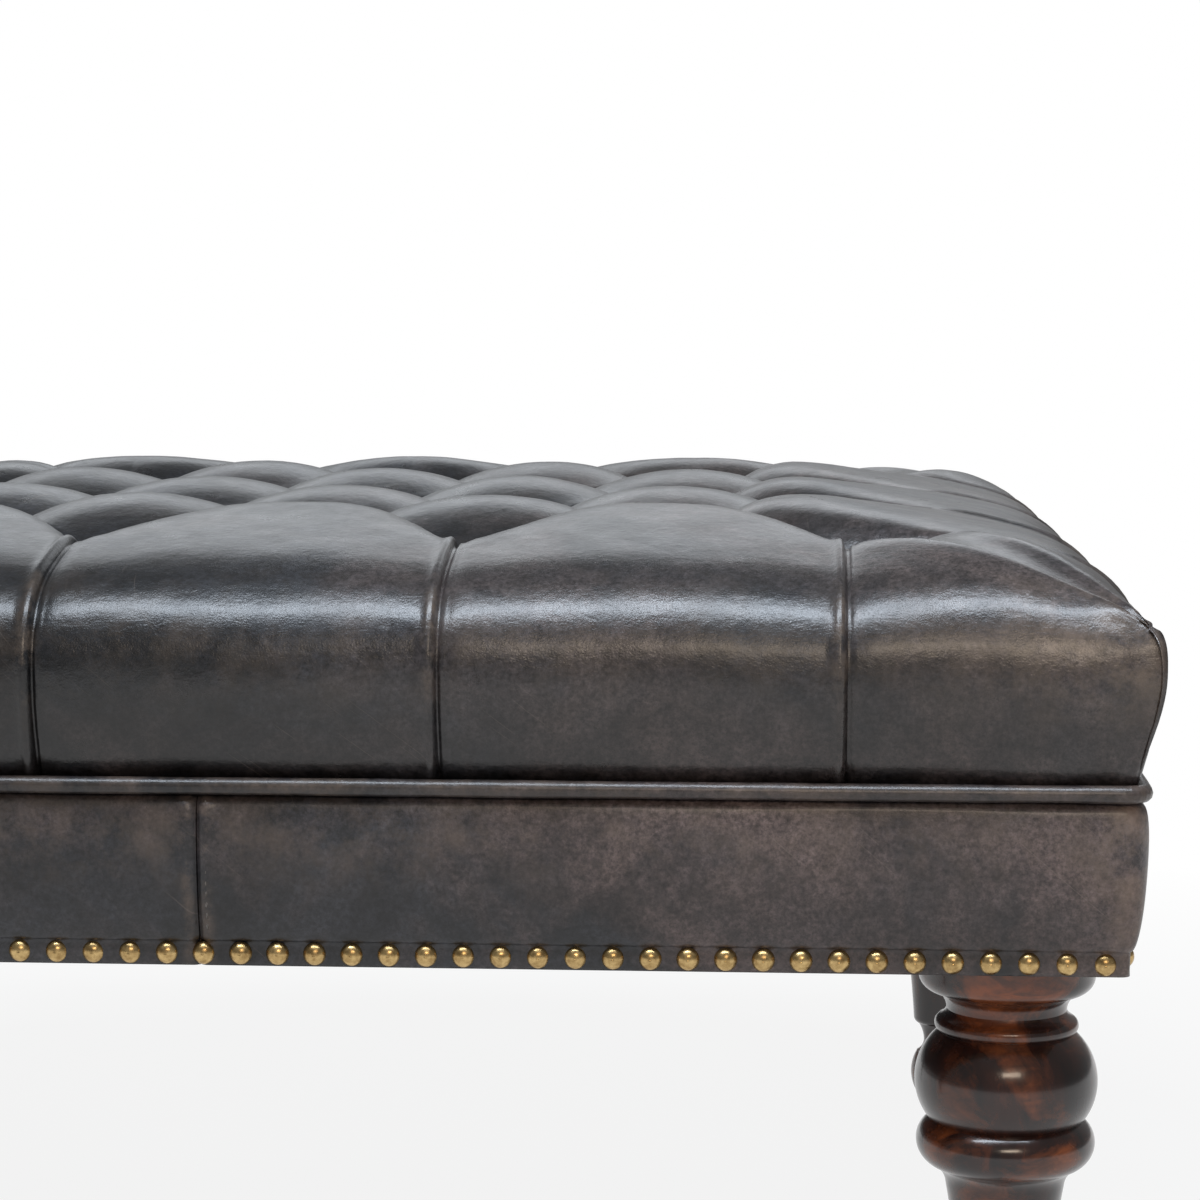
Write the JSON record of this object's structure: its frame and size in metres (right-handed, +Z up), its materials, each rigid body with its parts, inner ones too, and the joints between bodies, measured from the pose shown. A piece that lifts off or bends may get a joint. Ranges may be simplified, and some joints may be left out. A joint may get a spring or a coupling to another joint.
{
  "type": "tufted ottoman",
  "caption": "Square leather ottoman with a deep-buttoned diamond-tufted top, welted padded apron, a row of domed brass nails and turned dark wood legs.",
  "frame": {"origin": "middle of the footprint, on the floor under the glides", "axes": "+X to the right and -Y to the front as the picture shows it, +Z up"},
  "size_m": [0.813, 0.813, 0.438],
  "materials": {
    "leather_seat": "satin antiqued charcoal",
    "leather_apron": "satin antiqued charcoal",
    "leather_welt": "satin antiqued charcoal",
    "mahogany": "gloss lacquer, rubbed dark stain",
    "frame_wood": "sawn, unfinished",
    "plywood": "sanded, unfinished",
    "brass": "antique, polished on the domes",
    "steel": "zinc plated",
    "glide_plastic": "matt black",
    "foam": "open cell foam",
    "wadding": "polyester wadding",
    "cambric": "black woven dust cloth",
    "twine": "waxed linen"
  },
  "bodies": {
    "root": {"seat_cover": "leather_seat", "tuft_buttons": "leather_seat", "apron_band_left": "leather_apron", "apron_band_right": "leather_apron", "welt_cover": "leather_welt", "front_left_leg": "mahogany", "front_right_leg": "mahogany", "rear_left_leg": "mahogany", "rear_right_leg": "mahogany", "front_rail": "frame_wood", "rear_rail": "frame_wood", "left_rail": "frame_wood", "right_rail": "frame_wood", "cross_rail_left": "frame_wood", "cross_rail_right": "frame_wood", "corner_block_front_left": "frame_wood", "corner_block_front_right": "frame_wood", "corner_block_rear_left": "frame_wood", "corner_block_rear_right": "frame_wood", "frame_dowels": "frame_wood", "tuft_board": "plywood", "brass_nails_front": "brass", "brass_nails_rear": "brass", "brass_nails_left": "brass", "brass_nails_right": "brass", "corner_block_screws": "steel", "board_screws": "steel", "hanger_bolts": "steel", "tee_nuts": "steel", "leg_glides": "glide_plastic", "seat_foam": "foam", "seat_wadding": "wadding", "apron_wadding_left": "wadding", "apron_wadding_right": "wadding", "dust_cover": "cambric", "tuft_twines": "twine", "welt_cord": "twine"}
  },
  "joints": []
}
